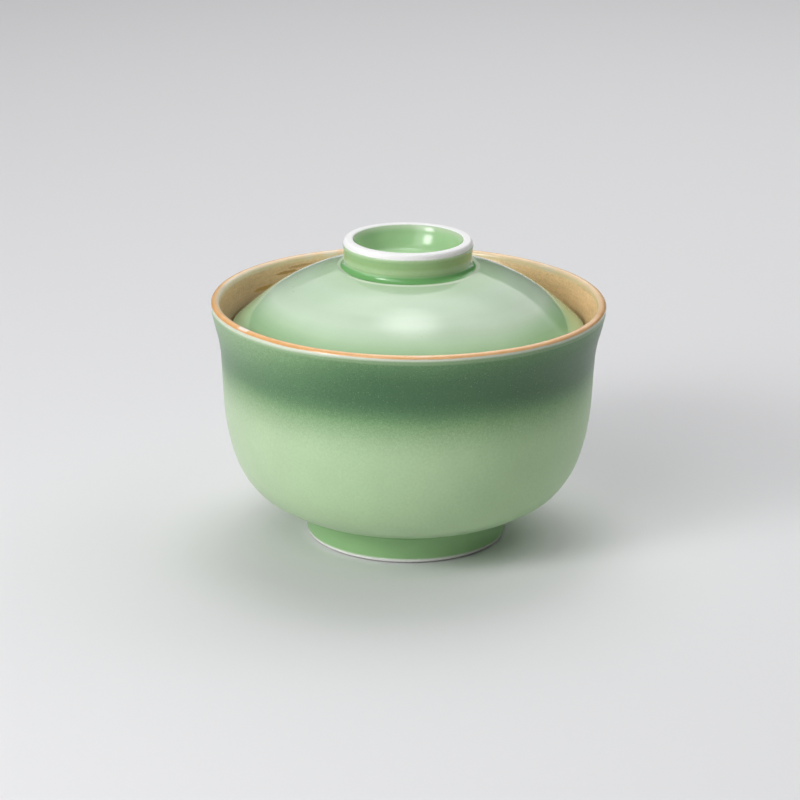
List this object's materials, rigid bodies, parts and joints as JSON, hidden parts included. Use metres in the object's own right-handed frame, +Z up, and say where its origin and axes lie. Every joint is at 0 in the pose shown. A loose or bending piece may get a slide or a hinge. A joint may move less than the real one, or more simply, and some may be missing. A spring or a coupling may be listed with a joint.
{
  "type": "lidded rice bowl",
  "caption": "Round lidded rice bowl on a turned foot ring, with a flared mouth and a domed drop-in lid that has a ring-shaped knob.",
  "frame": {"origin": "centre of the foot ring's resting face, on the table plane", "axes": "+Z up along the bowl's axis of revolution, which is the lid's axis too; X and Y are equivalent"},
  "size_m": [0.1204, 0.1204, 0.0937],
  "materials": {
    "bowl_glaze": "satin",
    "lid_glaze": "gloss"
  },
  "bodies": {
    "bowl_body": {"bowl": "bowl_glaze"},
    "lid_body": {"lid": "lid_glaze"}
  },
  "joints": [
    {"name": "lid_lift", "type": "slide", "parent": "bowl_body", "child": "lid_body", "axis": [0, 0, 1], "range_m": [0, 0.08]}
  ]
}
